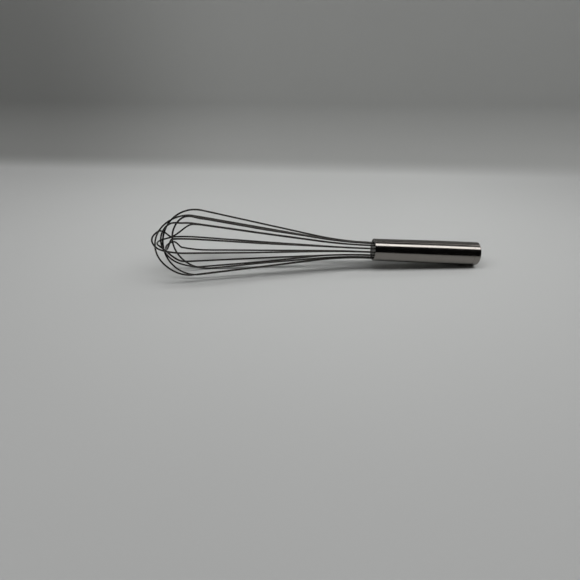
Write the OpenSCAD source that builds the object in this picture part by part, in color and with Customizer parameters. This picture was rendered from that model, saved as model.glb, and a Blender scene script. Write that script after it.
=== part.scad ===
// Balloon whisk of the piano-whip kind: wire loops set in a closed steel tube handle.
// It lies on a table at z = 0, balloon towards -X, handle towards +X, resting on the wires and the butt.
// Each module draws its piece in the whisk's own line (X along the handle, mouth of the handle at 0,
// the balloon on the minus side) and pose() lays the whole whisk on the table.

/* [Handle] */
// Length of the handle from its mouth to the butt face
handle_len = 98.7; // [80:1:130]
// Radius at the mouth, where the wires go in
mouth_r = 10.2; // [8:0.05:14]
// Radius of the straight rear part that the palm holds
grip_r = 10.85; // [8:0.05:14]
// Where the slight front taper ends and the straight part starts
taper_len = 62; // [30:1:80]
// Sheet thickness of the tube and of the cap
wall = 0.8; // [0.5:0.05:1.2]
// Where the tube ends and the butt cap shows
cap_seam = 93; // [85:0.5:96]
// Radius of the rounded edge of the butt
butt_edge = 1; // [0.9:0.1:4]
// How far the cap's plug reaches into the tube
cap_plug = 7; // [4:0.5:12]
// Gap left between fitted pieces
fit_gap = 0.02; // [0.01:0.01:0.1]

/* [Wires] */
// Radius of the spring wire
wire_r = 0.8; // [0.5:0.05:1.2]
// Radius of the circle on which the wires stand in the mouth
ring_r = 7.25; // [6:0.05:9]
// How far the wire circle sits below the handle's line
wire_drop = 0.9; // [0:0.1:1]
// Distance over which the strands come back up to the handle's line
level_len = 200; // [100:10:250]
// Length of wire held inside the handle
wire_tail = 25; // [15:1:35]
// Straight run in front of the mouth before the wires spread
neck_run = 4; // [1:0.5:10]
// Bending radius of the spreading neck
neck_r = 300; // [150:10:500]
// Distance over which a strand drifts to its own side of the balloon
drift_len = 110; // [60:5:150]
// Angle round the handle of the first strand, from the -Y side upwards
first_angle = 118; // [0:1:180]
// Number of wire loops
loops = 7; // [5:1:12]
// Sides of the swept wire section
wire_sides = 8; // [6:1:10]

/* [Inside the handle] */
// Depth of the resin plug that closes the mouth
seal_len = 11; // [6:0.5:16]
// How far the resin sits back from the lip
seal_inset = 0.8; // [0.2:0.1:2]
// Thickness of the drilled guide disc behind the resin
guide_len = 1.5; // [1:0.1:3]
// Length of the round core inside the wire circle
core_len = 11; // [6:0.5:16]
// Length of the crimp band round the wires
band_len = 7; // [4:0.5:12]
// Thickness of the crimp band
band_wall = 0.5; // [0.3:0.05:0.6]

/* [Resting pose] */
// Slope of the handle down to the butt when the whisk lies on the table
tilt = 4.265; // [0:0.005:8]
// Height of the mouth centre above the table
mouth_z = 18.09; // [10:0.01:30]
// Distance from the middle of the whisk's length to the mouth
mouth_x = 50.79; // [40:0.01:60]
// Sideways place of the handle's line
mouth_y = -0.14; // [-2:0.01:2]

/* [Hidden] */
$fn = 96;
strands = 2 * loops;
step_angle = 360 / strands;
lip_r = wall / 2;
grip_in = grip_r - wall;
wire_hole_r = wire_r + fit_gap;
core_r = ring_r - wire_r - fit_gap;
band_in = ring_r + wire_r + fit_gap;
guide_x = seal_inset + seal_len + fit_gap;
core_x = guide_x + guide_len + fit_gap;
band_x = core_x + 2;

// One row for each loop, as bent by use: slot round the mouth, reach of the tip from the mouth, balloon
// radius of the two strands, drift in degrees of the two strands, turn of the tip in degrees,
// length of the turned zone at the tip, and rise of the tip
loop_table = [
    [0, 192.2, 29.5, 29.2,   0,   0,   0, 36,  0.0],
    [6, 199.0, 30.0, 27.6, -15,   0,   3, 36,  0.0],
    [1, 183.6, 28.6, 28.8, -18,  -8,   0, 30,  2.0],
    [2, 194.0, 29.0, 29.5,  -4,  13,  13, 24, -2.0],
    [5, 196.6, 28.0, 30.0,   3,   4,  26, 27, -1.0],
    [4, 200.8, 30.0, 30.0,  -5,   3, -13, 12,  4.0],
    [3, 189.2, 29.5, 29.5,  -7,   1, -30, 10, -4.5],
];

neck_steps = 3;
taper_steps = 14;
cap_steps = 18;

function ease(t) = let (u = min(1, max(0, t))) u * u * (3 - 2 * u);
function between(a, b, t) = a + (b - a) * t;
function unit(v) = v / norm(v);

// Inner radius of the tube at a distance x behind the mouth
function bore_r(x) = between(mouth_r, grip_r, min(1, x / taper_len)) - wall;

// Side view of a strand from its end in the handle to its tip, as pairs of distance and radius
function strand_profile(reach, ball) =
    let (c = reach - ball,
         span = norm([c - neck_run, ring_r + neck_r]),
         turn = asin((ball + neck_r) / span) - atan2(ring_r + neck_r, c - neck_run),
         a = [neck_run + neck_r * sin(turn), ring_r + neck_r * (1 - cos(turn))],
         b = [c - ball * sin(turn), ball * cos(turn)])
    concat(
        [[-wire_tail, ring_r], [0, ring_r], [neck_run, ring_r]],
        [for (k = [1 : neck_steps]) let (t = turn * k / neck_steps)
            [neck_run + neck_r * sin(t), ring_r + neck_r * (1 - cos(t))]],
        [for (k = [1 : taper_steps]) between(a, b, k / taper_steps)],
        [for (k = [1 : cap_steps]) let (t = between(-turn, 90, k / cap_steps))
            [c + ball * sin(t), ball * cos(t)]]);

// Centre line of strand 0 or 1 of a loop, in the whisk's own line
function strand(row, side) =
    [for (q = strand_profile(row[1], row[2 + side]))
        let (tip = ease((q[0] - row[1] + row[7]) / (0.85 * row[7])),
             drift = row[4 + side] * ease(q[0] / drift_len) * (1 - tip),
             angle = first_angle - step_angle * row[0] + 180 * side + drift + row[6] * tip,
             drop = wire_drop * (1 - ease(q[0] / level_len)))
        [-q[0], -q[1] * cos(angle), q[1] * sin(angle) + row[8] * tip - drop]];

function loop_line(row) =
    let (a = strand(row, 0), b = strand(row, 1))
    concat(a, [for (k = [len(b) - 2 : -1 : 0]) b[k]]);

// Sweep of a round section along a line that stays near the plane with the given normal
module swept_wire(line, normal) {
    n = len(line);
    rings = [for (i = [0 : n - 1])
        let (along = unit(line[min(n - 1, i + 1)] - line[max(0, i - 1)]),
             out = unit(cross(along, normal)),
             side = cross(along, out))
        for (s = [0 : wire_sides - 1])
            line[i] + wire_r * (cos(360 * s / wire_sides) * out + sin(360 * s / wire_sides) * side)];
    skin = [for (i = [0 : n - 2], s = [0 : wire_sides - 1])
        let (p = i * wire_sides + s, q = i * wire_sides + (s + 1) % wire_sides)
        for (f = [[p, p + wire_sides, q], [q, p + wire_sides, q + wire_sides]]) f];
    start = [for (s = [0 : wire_sides - 1]) s];
    end = [for (s = [wire_sides - 1 : -1 : 0]) (n - 1) * wire_sides + s];
    polyhedron(points = rings, faces = concat([start, end], skin), convexity = 6);
}

module pose() {
    translate([mouth_x, mouth_y, mouth_z]) rotate([0, tilt, 0]) children();
}

module turned() {
    rotate([0, 90, 0]) rotate_extrude() children();
}

module wire_holes(x, length) {
    for (k = [0 : strands - 1]) {
        a = first_angle - step_angle * k;
        translate([x - 1, -ring_r * cos(a), ring_r * sin(a) - wire_drop])
            rotate([0, 90, 0]) cylinder(r = wire_hole_r, h = length + 2, $fn = 32);
    }
}

module handle_tube() {
    color("Silver") pose() turned() {
        polygon([
            [mouth_r - wall, lip_r], [mouth_r, lip_r],
            [grip_r, taper_len], [grip_r, cap_seam],
            [grip_in, cap_seam], [grip_in, taper_len],
        ]);
        translate([mouth_r - lip_r, lip_r]) circle(r = lip_r, $fn = 32);
    }
}

module butt_cap() {
    inner_edge = butt_edge - wall;
    color("Silver") pose() turned() {
        difference() {
            union() {
                translate([0, cap_seam + fit_gap])
                    square([grip_r, handle_len - butt_edge - cap_seam - fit_gap]);
                translate([0, cap_seam + fit_gap])
                    square([grip_r - butt_edge, handle_len - cap_seam - fit_gap]);
                translate([grip_r - butt_edge, handle_len - butt_edge]) circle(r = butt_edge);
                translate([grip_in - fit_gap - wall, cap_seam - cap_plug])
                    square([wall, cap_plug + 1]);
            }
            translate([0, cap_seam - cap_plug - 1])
                square([grip_in - fit_gap - wall, handle_len - butt_edge - cap_seam + cap_plug + 1]);
            translate([0, cap_seam - cap_plug - 1])
                square([grip_r - butt_edge - inner_edge, handle_len - wall - cap_seam + cap_plug + 1]);
            translate([grip_r - butt_edge - inner_edge, handle_len - butt_edge])
                circle(r = inner_edge);
        }
    }
}

module wire_seal() {
    color("DimGray") pose() difference() {
        translate([seal_inset, 0, 0]) rotate([0, 90, 0])
            cylinder(r1 = bore_r(seal_inset) - fit_gap, r2 = bore_r(seal_inset + seal_len) - fit_gap,
                     h = seal_len);
        wire_holes(seal_inset, seal_len);
    }
}

module wire_guide() {
    color("Gray") pose() difference() {
        translate([guide_x, 0, 0]) rotate([0, 90, 0])
            cylinder(r = bore_r(guide_x) - fit_gap, h = guide_len);
        wire_holes(guide_x, guide_len);
    }
}

module core_plug() {
    color("DarkGray") pose() translate([core_x, 0, -wire_drop]) rotate([0, 90, 0])
        cylinder(r = core_r, h = core_len);
}

module crimp_band() {
    color("Silver") pose() translate([band_x, 0, -wire_drop]) rotate([0, 90, 0]) difference() {
        cylinder(r = band_in + band_wall, h = band_len);
        translate([0, 0, -1]) cylinder(r = band_in, h = band_len + 2);
    }
}

module wire_loop(k) {
    row = loop_table[k];
    a = first_angle - step_angle * row[0] + row[6] / 2;
    color("LightGray") pose() swept_wire(loop_line(row), [0, sin(a), cos(a)]);
}

module wire_loop_1() { wire_loop(0); }
module wire_loop_2() { wire_loop(1); }
module wire_loop_3() { wire_loop(2); }
module wire_loop_4() { wire_loop(3); }
module wire_loop_5() { wire_loop(4); }
module wire_loop_6() { wire_loop(5); }
module wire_loop_7() { wire_loop(6); }

handle_tube();
butt_cap();
wire_seal();
wire_guide();
core_plug();
crimp_band();
wire_loop_1();
wire_loop_2();
wire_loop_3();
wire_loop_4();
wire_loop_5();
wire_loop_6();
wire_loop_7();
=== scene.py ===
"""Balloon whisk lying on a pale paper sweep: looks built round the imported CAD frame."""
import math

import bpy
from mathutils import Matrix, Vector


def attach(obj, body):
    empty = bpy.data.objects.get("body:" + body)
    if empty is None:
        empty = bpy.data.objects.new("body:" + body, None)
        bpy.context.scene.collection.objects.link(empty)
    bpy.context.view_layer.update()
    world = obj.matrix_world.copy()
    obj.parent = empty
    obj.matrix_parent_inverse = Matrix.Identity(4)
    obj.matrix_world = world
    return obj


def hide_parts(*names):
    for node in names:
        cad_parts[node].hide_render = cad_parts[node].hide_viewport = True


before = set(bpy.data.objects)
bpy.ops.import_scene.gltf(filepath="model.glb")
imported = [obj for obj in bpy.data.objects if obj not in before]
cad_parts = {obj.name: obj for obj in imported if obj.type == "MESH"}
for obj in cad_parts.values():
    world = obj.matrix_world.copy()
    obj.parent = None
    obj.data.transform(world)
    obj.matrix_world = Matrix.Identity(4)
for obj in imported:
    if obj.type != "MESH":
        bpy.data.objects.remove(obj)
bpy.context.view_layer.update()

MM = 0.001

# ---- The whisk's own line, as in the CAD: X along the handle, its mouth at 0, the balloon on the minus side
TILT = math.radians(4.265)
MOUTH = Vector((50.79, -0.14, 18.09)) * MM
POSE = Matrix.Translation(MOUTH) @ Matrix.Rotation(TILT, 4, "Y")

HANDLE_LEN, CAP_SEAM, TAPER_LEN = 98.7, 93.0, 62.0
MOUTH_R, GRIP_R, WALL, BUTT_EDGE = 10.2, 10.85, 0.8, 1.0
WIRE_R, RING_R, WIRE_TAIL, NECK_RUN, NECK_R = 0.8, 7.25, 25.0, 4.0, 300.0
WIRE_DROP, LEVEL_LEN, DRIFT_LEN, FIRST_ANGLE, LOOPS = 0.9, 200.0, 110.0, 118.0, 7
STEP_ANGLE = 180.0 / LOOPS
FIT_GAP, CAP_PLUG = 0.02, 7.0

# One row for each loop: slot round the mouth, reach of the tip, balloon radius of the two strands,
# drift in degrees of the two strands, turn of the tip in degrees, length of the turned zone, rise of the tip
LOOP_TABLE = [
    (0, 192.2, 29.5, 29.2, 0, 0, 0, 36, 0.0),
    (6, 199.0, 30.0, 27.6, -15, 0, 3, 36, 0.0),
    (1, 183.6, 28.6, 28.8, -18, -8, 0, 30, 2.0),
    (2, 194.0, 29.0, 29.5, -4, 13, 13, 24, -2.0),
    (5, 196.6, 28.0, 30.0, 3, 4, 26, 27, -1.0),
    (4, 200.8, 30.0, 30.0, -5, 3, -13, 12, 4.0),
    (3, 189.2, 29.5, 29.5, -7, 1, -30, 10, -4.5),
]
NECK_STEPS, TAPER_STEPS, CAP_STEPS = 8, 40, 52
WIRE_SIDES, LATHE_SIDES = 16, 160
LIP_STEPS, FLARE_STEPS, WALL_STEPS, SEAM_STEPS, BUTT_STEPS, FACE_STEPS = 14, 12, 4, 5, 16, 8
SEAM_EDGE = 0.18  # rounding of the two edges that meet at the cap's seam
EDGE_HOLD = 0.1  # a ring of points this far from a rounded edge keeps its shading off the straight wall


# ---- Shapes
def ease(t):
    t = min(1.0, max(0.0, t))
    return t * t * (3 - 2 * t)


def between(a, b, t):
    return a + (b - a) * t


def strand_profile(reach, ball):
    """Side view of a strand as (distance in front of the mouth, radius), from its tail to its tip."""
    c = reach - ball
    span = math.hypot(c - NECK_RUN, RING_R + NECK_R)
    turn = math.asin((ball + NECK_R) / span) - math.atan2(RING_R + NECK_R, c - NECK_RUN)
    a = Vector((NECK_RUN + NECK_R * math.sin(turn), RING_R + NECK_R * (1 - math.cos(turn))))
    b = Vector((c - ball * math.sin(turn), ball * math.cos(turn)))
    points = [Vector((-WIRE_TAIL, RING_R)), Vector((0, RING_R)), Vector((NECK_RUN, RING_R))]
    for k in range(1, NECK_STEPS + 1):
        t = turn * k / NECK_STEPS
        points.append(Vector((NECK_RUN + NECK_R * math.sin(t), RING_R + NECK_R * (1 - math.cos(t)))))
    points += [a.lerp(b, k / TAPER_STEPS) for k in range(1, TAPER_STEPS + 1)]
    for k in range(1, CAP_STEPS + 1):
        t = between(-turn, math.pi / 2, k / CAP_STEPS)
        points.append(Vector((c + ball * math.sin(t), ball * math.cos(t))))
    return points


def strand(row, side):
    slot, reach, zone, turn, rise = row[0], row[1], row[7], row[6], row[8]
    line = []
    for d, r in strand_profile(reach, row[2 + side]):
        tip = ease((d - reach + zone) / (0.85 * zone))
        drift = row[4 + side] * ease(d / DRIFT_LEN) * (1 - tip)
        angle = math.radians(FIRST_ANGLE - STEP_ANGLE * slot + 180 * side + drift + turn * tip)
        drop = WIRE_DROP * (1 - ease(d / LEVEL_LEN))
        line.append(Vector((-d, -r * math.cos(angle), r * math.sin(angle) + rise * tip - drop)))
    return line


def loop_line(row):
    return strand(row, 0) + strand(row, 1)[-2::-1]


def new_object(name, verts, faces, uvs, material):
    """A smooth mesh from points in millimetres on the whisk's own line, with a UV map in metres."""
    mesh = bpy.data.meshes.new(name)
    mesh.from_pydata([POSE @ (Vector(v) * MM) for v in verts], [], faces)
    layer = mesh.uv_layers.new(name="metres")
    for poly, corners in zip(mesh.polygons, uvs):
        poly.use_smooth = True
        for loop, uv in zip(poly.loop_indices, corners):
            layer.data[loop].uv = (uv[0] * MM, uv[1] * MM)
    mesh.materials.append(material)
    mesh.validate()
    obj = bpy.data.objects.new(name, mesh)
    bpy.context.scene.collection.objects.link(obj)
    return obj


def swept_wire(name, line, normal, radius, material):
    """A round wire along a line that stays near the plane with the given normal."""
    count = len(line)
    verts, length = [], [0.0]
    for i in range(1, count):
        length.append(length[-1] + (line[i] - line[i - 1]).length)
    for i in range(count):
        along = (line[min(count - 1, i + 1)] - line[max(0, i - 1)]).normalized()
        out = along.cross(normal).normalized()
        side = along.cross(out)
        for s in range(WIRE_SIDES):
            a = 2 * math.pi * s / WIRE_SIDES
            verts.append(line[i] + radius * (math.cos(a) * out + math.sin(a) * side))
    faces, uvs = [], []
    arc = 2 * math.pi * radius / WIRE_SIDES
    for i in range(count - 1):
        for s in range(WIRE_SIDES):
            p, q = i * WIRE_SIDES + s, i * WIRE_SIDES + (s + 1) % WIRE_SIDES
            faces.append((p, p + WIRE_SIDES, q + WIRE_SIDES, q))
            uvs.append([(length[i], s * arc), (length[i + 1], s * arc),
                        (length[i + 1], (s + 1) * arc), (length[i], (s + 1) * arc)])
    for ring, step in ((0, 1), ((count - 1) * WIRE_SIDES, -1)):
        cap = [ring + s for s in range(WIRE_SIDES)][::step]
        faces.append(tuple(cap))
        uvs.append([(0, 0)] * WIRE_SIDES)
    return new_object(name, verts, faces, uvs, material)


def lathe(name, profile, material):
    """A closed ring of (x, radius) points, in order round the section, turned about the handle's line.
    A point on the line itself is one vertex, where the faces of its ring meet."""
    count = len(profile)
    run = [0.0]
    for i in range(1, count + 1):
        a, b = profile[i - 1], profile[i % count]
        run.append(run[-1] + math.dist(a, b))
    verts, rings = [], []
    for x, r in profile:
        sides = LATHE_SIDES if r > 0 else 1
        rings.append([len(verts) + s % sides for s in range(LATHE_SIDES)])
        for s in range(sides):
            a = 2 * math.pi * s / LATHE_SIDES
            verts.append((x, -r * math.cos(a), r * math.sin(a)))
    faces, uvs = [], []
    arc = 2 * math.pi * GRIP_R / LATHE_SIDES
    for i in range(count):
        here, there = rings[i], rings[(i + 1) % count]
        for s in range(LATHE_SIDES):
            t = (s + 1) % LATHE_SIDES
            corners = {here[s]: (run[i], s * arc), there[s]: (run[i + 1], s * arc),
                       there[t]: (run[i + 1], (s + 1) * arc), here[t]: (run[i], (s + 1) * arc)}
            if len(corners) > 2:
                faces.append(tuple(corners))
                uvs.append(list(corners.values()))
    return new_object(name, verts, faces, uvs, material)


def arc_points(cx, cr, radius, start, end, steps):
    """Points (x, r) on an arc; 0 degrees points along +X and 90 outwards."""
    out = []
    for k in range(steps + 1):
        a = math.radians(between(start, end, k / steps))
        out.append((cx + radius * math.cos(a), cr + radius * math.sin(a)))
    return out


# ---- Materials
class Nodes:
    """A small hand for building a material's nodes."""

    def __init__(self, name):
        self.material = bpy.data.materials.new(name)
        self.material.use_nodes = True
        self.tree = self.material.node_tree
        self.shader = self.tree.nodes["Principled BSDF"]

    def link(self, a, b):
        self.tree.links.new(a, b)

    def uv(self, along, around):
        """The UV map in metres, times a number of repeats per metre each way."""
        source = self.tree.nodes.new("ShaderNodeUVMap")
        source.uv_map = "metres"
        scale = self.tree.nodes.new("ShaderNodeMapping")
        scale.inputs["Scale"].default_value = (along, around, 1)
        self.link(source.outputs["UV"], scale.inputs["Vector"])
        return scale.outputs["Vector"]

    def space(self, scale):
        """Object space, times a number of repeats per metre."""
        source = self.tree.nodes.new("ShaderNodeTexCoord")
        mapping = self.tree.nodes.new("ShaderNodeMapping")
        mapping.inputs["Scale"].default_value = (scale, scale, scale)
        self.link(source.outputs["Object"], mapping.inputs["Vector"])
        return mapping.outputs["Vector"]

    def axes(self):
        """Object space as separate X, Y and Z."""
        source = self.tree.nodes.new("ShaderNodeTexCoord")
        split = self.tree.nodes.new("ShaderNodeSeparateXYZ")
        self.link(source.outputs["Object"], split.inputs["Vector"])
        return split.outputs

    def noise(self, vector, detail=3.0, rough=0.5):
        node = self.tree.nodes.new("ShaderNodeTexNoise")
        node.inputs["Scale"].default_value = 1.0
        node.inputs["Detail"].default_value = detail
        node.inputs["Roughness"].default_value = rough
        self.link(vector, node.inputs["Vector"])
        return node.outputs["Fac"]

    def ramp(self, value, low, high, to_low=0.0, to_high=1.0):
        """A smooth step from to_low at low to to_high at high."""
        node = self.tree.nodes.new("ShaderNodeMapRange")
        node.interpolation_type = "SMOOTHSTEP"
        for key, number in (("From Min", low), ("From Max", high), ("To Min", to_low), ("To Max", to_high)):
            node.inputs[key].default_value = number
        self.link(value, node.inputs["Value"])
        return node.outputs["Result"]

    def math(self, kind, a, b=0.0):
        node = self.tree.nodes.new("ShaderNodeMath")
        node.operation = kind
        for socket, value in zip(node.inputs, (a, b)):
            if isinstance(value, (int, float)):
                socket.default_value = value
            else:
                self.link(value, socket)
        return node.outputs["Value"]

    def mix(self, fac, a, b):
        """From a where fac is 0 to b where it is 1; each is a colour or a socket."""
        node = self.tree.nodes.new("ShaderNodeMix")
        node.data_type = "RGBA"
        self.link(fac, node.inputs["Factor"])
        for socket, value in ((node.inputs[6], a), (node.inputs[7], b)):
            if isinstance(value, tuple):
                socket.default_value = (*value, 1)
            else:
                self.link(value, socket)
        return node.outputs[2]

    def bump(self, height, strength, distance):
        node = self.tree.nodes.new("ShaderNodeBump")
        node.inputs["Strength"].default_value = strength
        node.inputs["Distance"].default_value = distance
        self.link(height, node.inputs["Height"])
        self.link(node.outputs["Normal"], self.shader.inputs["Normal"])


TIP_SHADE_DEPTH = 0.55  # how much of the dark streaks' colour is left where the painted shade at the wires' tip is full


def steel(name, light, dark, smooth_rough, dull_rough, streak=(14, 5200), broad=(5, 900), painted_tip_shade=None):
    """Worn brushed steel: fine and broad streaks, dull smudges and short scratches.
    Given two places along X, painted shade darkens it from the second to the first."""
    n = Nodes(name)
    fine = n.noise(n.uv(*streak), 4.0, 0.6)
    wide = n.noise(n.uv(*broad), 3.0, 0.5)
    smudge = n.ramp(n.noise(n.uv(90, 70), 4.0, 0.55), 0.42, 0.68)
    scratch = n.ramp(n.noise(n.uv(1800, 120), 2.0, 0.7), 0.66, 0.74)
    lines = n.math("ADD", n.math("MULTIPLY", fine, 0.55), n.math("MULTIPLY", wide, 0.45))
    colour = n.mix(n.ramp(lines, 0.36, 0.64), dark, light)
    smudged_and_shaded = n.mix(n.math("MULTIPLY", smudge, 0.35), colour, tuple(0.82 * c for c in light))
    # painted shade: the steel darkens towards the wires' tip, where they crowd and overlap
    if painted_tip_shade:
        smudged_and_shaded = n.mix(n.ramp(n.axes()["X"], *painted_tip_shade), tuple(TIP_SHADE_DEPTH * c for c in dark), smudged_and_shaded)
    n.link(smudged_and_shaded, n.shader.inputs["Base Color"])
    rough = n.ramp(lines, 0.34, 0.66, dull_rough, smooth_rough)
    rough = n.math("ADD", rough, n.math("MULTIPLY", smudge, 0.05))
    rough = n.math("ADD", rough, n.math("MULTIPLY", scratch, 0.08))
    n.link(rough, n.shader.inputs["Roughness"])
    n.bump(n.math("SUBTRACT", lines, n.math("MULTIPLY", scratch, 0.12)), 0.25, 0.00002)
    n.shader.inputs["Metallic"].default_value = 1.0
    return n.material


def sheet_metal(name):
    """Plain dull sheet of the hidden fittings, with rolled grain and stains."""
    n = Nodes(name)
    grain = n.noise(n.space(1400), 4.0, 0.6)
    stain = n.noise(n.space(160), 3.0, 0.5)
    colour = n.mix(n.ramp(stain, 0.35, 0.65), (0.32, 0.32, 0.31), (0.45, 0.45, 0.44))
    n.link(colour, n.shader.inputs["Base Color"])
    n.link(n.ramp(grain, 0.3, 0.7, 0.3, 0.42), n.shader.inputs["Roughness"])
    n.bump(grain, 0.2, 0.00003)
    n.shader.inputs["Metallic"].default_value = 1.0
    return n.material


def resin(name):
    """Cast grey epoxy with sand-like grain and darker pits."""
    n = Nodes(name)
    grain = n.noise(n.space(2600), 5.0, 0.65)
    blotch = n.noise(n.space(420), 3.0, 0.5)
    pits = n.ramp(n.noise(n.space(1500), 2.0, 0.5), 0.60, 0.70)
    colour = n.mix(n.ramp(blotch, 0.35, 0.65), (0.20, 0.20, 0.19), (0.42, 0.415, 0.395))
    colour = n.mix(n.math("MULTIPLY", pits, 0.7), colour, (0.03, 0.03, 0.03))
    n.link(colour, n.shader.inputs["Base Color"])
    n.link(n.ramp(grain, 0.3, 0.7, 0.45, 0.75), n.shader.inputs["Roughness"])
    n.bump(n.math("SUBTRACT", grain, pits), 0.5, 0.0002)
    return n.material


def plastic(name):
    """Moulded grey plastic, fine-grained."""
    n = Nodes(name)
    grain = n.noise(n.space(3000), 3.0, 0.5)
    n.link(n.mix(grain, (0.22, 0.22, 0.22), (0.30, 0.30, 0.29)), n.shader.inputs["Base Color"])
    n.link(n.ramp(grain, 0.3, 0.7, 0.5, 0.6), n.shader.inputs["Roughness"])
    n.bump(grain, 0.2, 0.00005)
    return n.material


# Where the paper's colour changes, in metres on the sweep: the middle of a painted pool of light on the
# floor and how far that reaches, the height of the painted shade at the wall's foot, the painted shade at
# the wall's left end, and where floor turns into wall, whose paint is darker as painted shade
LIGHT_POOL_SPOT, LIGHT_POOL_REACH = (-0.01, 0.18), (0.12, 0.48)
FOOT_SHADE_HEIGHT, LEFT_SHADE, WALL_START = (0.03, 0.1), (-0.46, -0.11), (0.255, 0.30)


def paper(name):
    """Matt paper sweep with faint clouds and a fine grain, and painted light and shade: a painted pool of
    light palest just behind the whisk, greyer outwards, and painted shade that makes the wall darker, its
    foot darker still and its left end darkest."""
    n = Nodes(name)
    where = n.axes()
    aside = n.math("SUBTRACT", where["X"], LIGHT_POOL_SPOT[0])
    ahead = n.math("SUBTRACT", where["Y"], LIGHT_POOL_SPOT[1])
    away = n.math("SQRT", n.math("ADD", n.math("MULTIPLY", aside, aside), n.math("MULTIPLY", ahead, ahead)))
    cloud = n.noise(n.space(3.5), 3.0, 0.5)
    edge = n.mix(cloud, (0.49, 0.495, 0.49), (0.52, 0.525, 0.52))
    # painted pool of light: the floor is palest round a spot just behind the whisk and greyer outwards
    floor = n.mix(n.ramp(away, *LIGHT_POOL_REACH), (0.65, 0.66, 0.65), edge)
    # painted shade: the wall's paint is darker than the floor's, and darker still at its foot
    wall = n.mix(n.ramp(where["Z"], *FOOT_SHADE_HEIGHT), (0.40, 0.405, 0.395), (0.44, 0.445, 0.435))
    # painted shade: the wall's left end is darker still
    wall = n.mix(n.ramp(where["X"], *LEFT_SHADE), (0.27, 0.273, 0.265), wall)
    colour = n.mix(n.ramp(where["Y"], *WALL_START), floor, wall)
    n.link(colour, n.shader.inputs["Base Color"])
    n.shader.inputs["Roughness"].default_value = 0.85
    n.shader.inputs["Specular IOR Level"].default_value = 0.2
    n.bump(n.noise(n.space(900), 2.0, 0.5), 0.08, 0.0002)
    return n.material


# ---- Pieces
def finish_piece(obj, slot, *nodes):
    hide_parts(*nodes)
    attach(obj, "root")


def make_wires(material):
    for k, row in enumerate(LOOP_TABLE, 1):
        a = math.radians(FIRST_ANGLE - STEP_ANGLE * row[0] + row[6] / 2)
        name = f"wire_loop_{k}"
        normal = Vector((0, math.sin(a), math.cos(a)))
        wire = swept_wire(f"{name}_wire", loop_line(row), normal, WIRE_R, material)
        finish_piece(wire, "wire_steel", name)


def make_tube(material):
    """A rolled lip, a slight flare back from the mouth, and the straight wall up to the cap's seam."""
    lip, edge = WALL / 2, SEAM_EDGE
    profile = arc_points(lip, MOUTH_R - lip, lip, 270, 90, LIP_STEPS)
    for k in range(1, FLARE_STEPS + 1):
        t = k / FLARE_STEPS
        profile.append((between(lip, TAPER_LEN, t), between(MOUTH_R, GRIP_R, ease(t) * 0.5 + t * 0.5)))
    profile += [(between(TAPER_LEN, CAP_SEAM - edge, k / WALL_STEPS), GRIP_R) for k in range(1, WALL_STEPS)]
    profile += [(CAP_SEAM - edge - EDGE_HOLD, GRIP_R)]
    profile += arc_points(CAP_SEAM - edge, GRIP_R - edge, edge, 90, 0, SEAM_STEPS)
    profile += [(CAP_SEAM, GRIP_R - WALL), (TAPER_LEN, GRIP_R - WALL)]
    tube = lathe("handle_tube_shell", profile, material)
    finish_piece(tube, "handle_steel", "handle_tube")


def make_cap(material):
    """A pressed cap: the plug inside the tube, the seam, the rounded edge and the flat butt face."""
    seam, edge = CAP_SEAM + FIT_GAP, SEAM_EDGE
    inner_edge = BUTT_EDGE - WALL
    plug_r = GRIP_R - WALL - FIT_GAP
    centre, corner_r = HANDLE_LEN - BUTT_EDGE, GRIP_R - BUTT_EDGE
    profile = [(seam - CAP_PLUG, plug_r - WALL), (seam - CAP_PLUG, plug_r), (seam, plug_r)]
    profile += arc_points(seam + edge, GRIP_R - edge, edge, 180, 90, SEAM_STEPS)
    profile += [(seam + edge + EDGE_HOLD, GRIP_R), (centre - EDGE_HOLD, GRIP_R)]
    profile += arc_points(centre, corner_r, BUTT_EDGE, 90, 0, BUTT_STEPS)
    profile += [(HANDLE_LEN, between(corner_r, 0, k / FACE_STEPS)) for k in range(1, FACE_STEPS)]
    profile += [(HANDLE_LEN, 0), (HANDLE_LEN - WALL, 0), (HANDLE_LEN - WALL, corner_r)]
    profile += arc_points(centre, corner_r, inner_edge, 0, 60, SEAM_STEPS)
    profile += [(centre, plug_r - WALL)]
    cap = lathe("butt_cap_shell", profile, material)
    finish_piece(cap, "cap_steel", "butt_cap")


def paint_cad(node, material):
    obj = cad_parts[node]
    for place in obj.material_slots:
        place.material = material


# ---- Stage
SWEEP_TURN = math.radians(-7)  # the paper stands a little askew behind the whisk
SWEEP_HALF, SWEEP_FRONT, SWEEP_MIDDLE, SWEEP_WALL, SWEEP_COVE, SWEEP_TOP = 4.0, -4.0, -0.5, 0.34, 0.08, 0.38
COVE_STEPS = 24


def make_sweep(material):
    """A floor that turns up into a wall behind the whisk through a round cove, one sheet of paper."""
    bend = SWEEP_WALL - SWEEP_COVE
    section = [(SWEEP_FRONT, 0.0), (SWEEP_MIDDLE, 0.0), (bend, 0.0)]
    for k in range(1, COVE_STEPS + 1):
        a = math.pi / 2 * k / COVE_STEPS
        section.append((bend + SWEEP_COVE * math.sin(a), SWEEP_COVE - SWEEP_COVE * math.cos(a)))
    section.append((SWEEP_WALL, SWEEP_TOP))
    verts = [(x, y, z) for y, z in section for x in (-SWEEP_HALF, SWEEP_HALF)]
    faces = [(2 * i, 2 * i + 1, 2 * i + 3, 2 * i + 2) for i in range(len(section) - 1)]
    mesh = bpy.data.meshes.new("paper_sweep")
    mesh.from_pydata(verts, [], faces)
    for poly in mesh.polygons:
        poly.use_smooth = True
    mesh.materials.append(material)
    sweep = bpy.data.objects.new("paper_sweep", mesh)
    sweep.rotation_euler.z = SWEEP_TURN
    bpy.context.scene.collection.objects.link(sweep)


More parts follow.
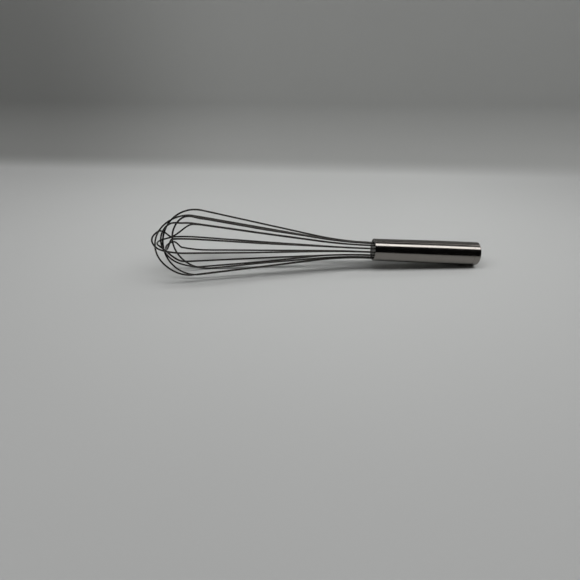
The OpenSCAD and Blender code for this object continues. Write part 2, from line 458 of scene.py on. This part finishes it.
def make_light(name, place, size, watts):
    """A rectangular area light aimed at the origin."""
    data = bpy.data.lights.new(name, "AREA")
    data.shape = "RECTANGLE"
    data.size, data.size_y = size
    data.energy = watts
    light = bpy.data.objects.new(name, data)
    light.location = place
    light.rotation_euler = (-Vector(place)).to_track_quat("-Z", "Y").to_euler()
    bpy.context.scene.collection.objects.link(light)


def make_world():
    """A dim room: darker in front of the sweep, where the camera stands, and grey behind it."""
    world = bpy.data.worlds.new("room")
    world.use_nodes = True
    tree = world.node_tree
    where = tree.nodes.new("ShaderNodeTexCoord")
    split = tree.nodes.new("ShaderNodeSeparateXYZ")
    ramp = tree.nodes.new("ShaderNodeValToRGB")
    tree.links.new(where.outputs["Generated"], split.inputs["Vector"])
    tree.links.new(split.outputs["Y"], ramp.inputs["Fac"])
    ramp.color_ramp.elements[0].position = 0.0
    ramp.color_ramp.elements[0].color = (0.005, 0.005, 0.005, 1)
    ramp.color_ramp.elements[1].position = 0.35
    ramp.color_ramp.elements[1].color = (0.06, 0.06, 0.059, 1)
    tree.links.new(ramp.outputs["Color"], tree.nodes["Background"].inputs["Color"])
    bpy.context.scene.world = world


def make_camera():
    """Above and in front of the whisk, a little to the left, looking down past it."""
    down, turn, roll = math.radians(34.4), math.radians(1.2), math.radians(-0.9)
    distance = 0.405  # from the mouth of the handle, along the lens's line
    mouth_right, mouth_up = 0.19, 0.0929  # where the mouth lies off the lens's line, as tangents
    forward = Vector((math.sin(turn) * math.cos(down), math.cos(turn) * math.cos(down), -math.sin(down)))
    level = Vector((math.cos(turn), -math.sin(turn), 0))
    above = level.cross(forward)
    right = level * math.cos(roll) + above * math.sin(roll)
    up = right.cross(forward)
    place = MOUTH - distance * (forward + mouth_right * right + mouth_up * up)
    data = bpy.data.cameras.new("view")
    data.sensor_width = 36.0
    data.lens = 27.06
    data.clip_start, data.clip_end = 0.01, 50
    camera = bpy.data.objects.new("view", data)
    camera.matrix_world = Matrix.Translation(place) @ Matrix((right, up, -forward)).transposed().to_4x4()
    bpy.context.scene.collection.objects.link(camera)
    bpy.context.scene.camera = camera


handle_look = {"light": (0.28, 0.262, 0.242), "dark": (0.22, 0.207, 0.192),
               "smooth_rough": 0.07, "dull_rough": 0.19}
handle_steel = steel("handle_steel", **handle_look)
cap_steel = steel("cap_steel", **handle_look, streak=(5200, 14), broad=(900, 8))
# the wires carry painted shade towards the balloon's tip: darkest beyond X = -0.15 m, plain from -0.1 m
wire_steel = steel("wire_steel", light=(0.085, 0.081, 0.075), dark=(0.055, 0.052, 0.048),
                   smooth_rough=0.13, dull_rough=0.25,
                   streak=(60, 9000), broad=(25, 2500), painted_tip_shade=(-0.15, -0.1))
inner_steel = sheet_metal("inner_steel")

make_wires(wire_steel)
make_tube(handle_steel)
make_cap(cap_steel)
paint_cad("wire_seal", resin("seal_resin"))
paint_cad("core_plug", plastic("core_plastic"))
for inside in ("wire_guide", "crimp_band"):
    paint_cad(inside, inner_steel)

make_sweep(paper("sweep_paper"))
make_light("ceiling_strip", place=(0, -0.16, 1.2), size=(3.2, 0.48), watts=17.3)
make_light("back_strip", place=(0, 0.68, 1.2), size=(3.2, 0.12), watts=1.2)
make_light("side_window", place=(1.5, 0.7, 1.2), size=(0.7, 0.8), watts=4)
make_world()
make_camera()
bpy.context.scene.view_settings.view_transform = "Standard"
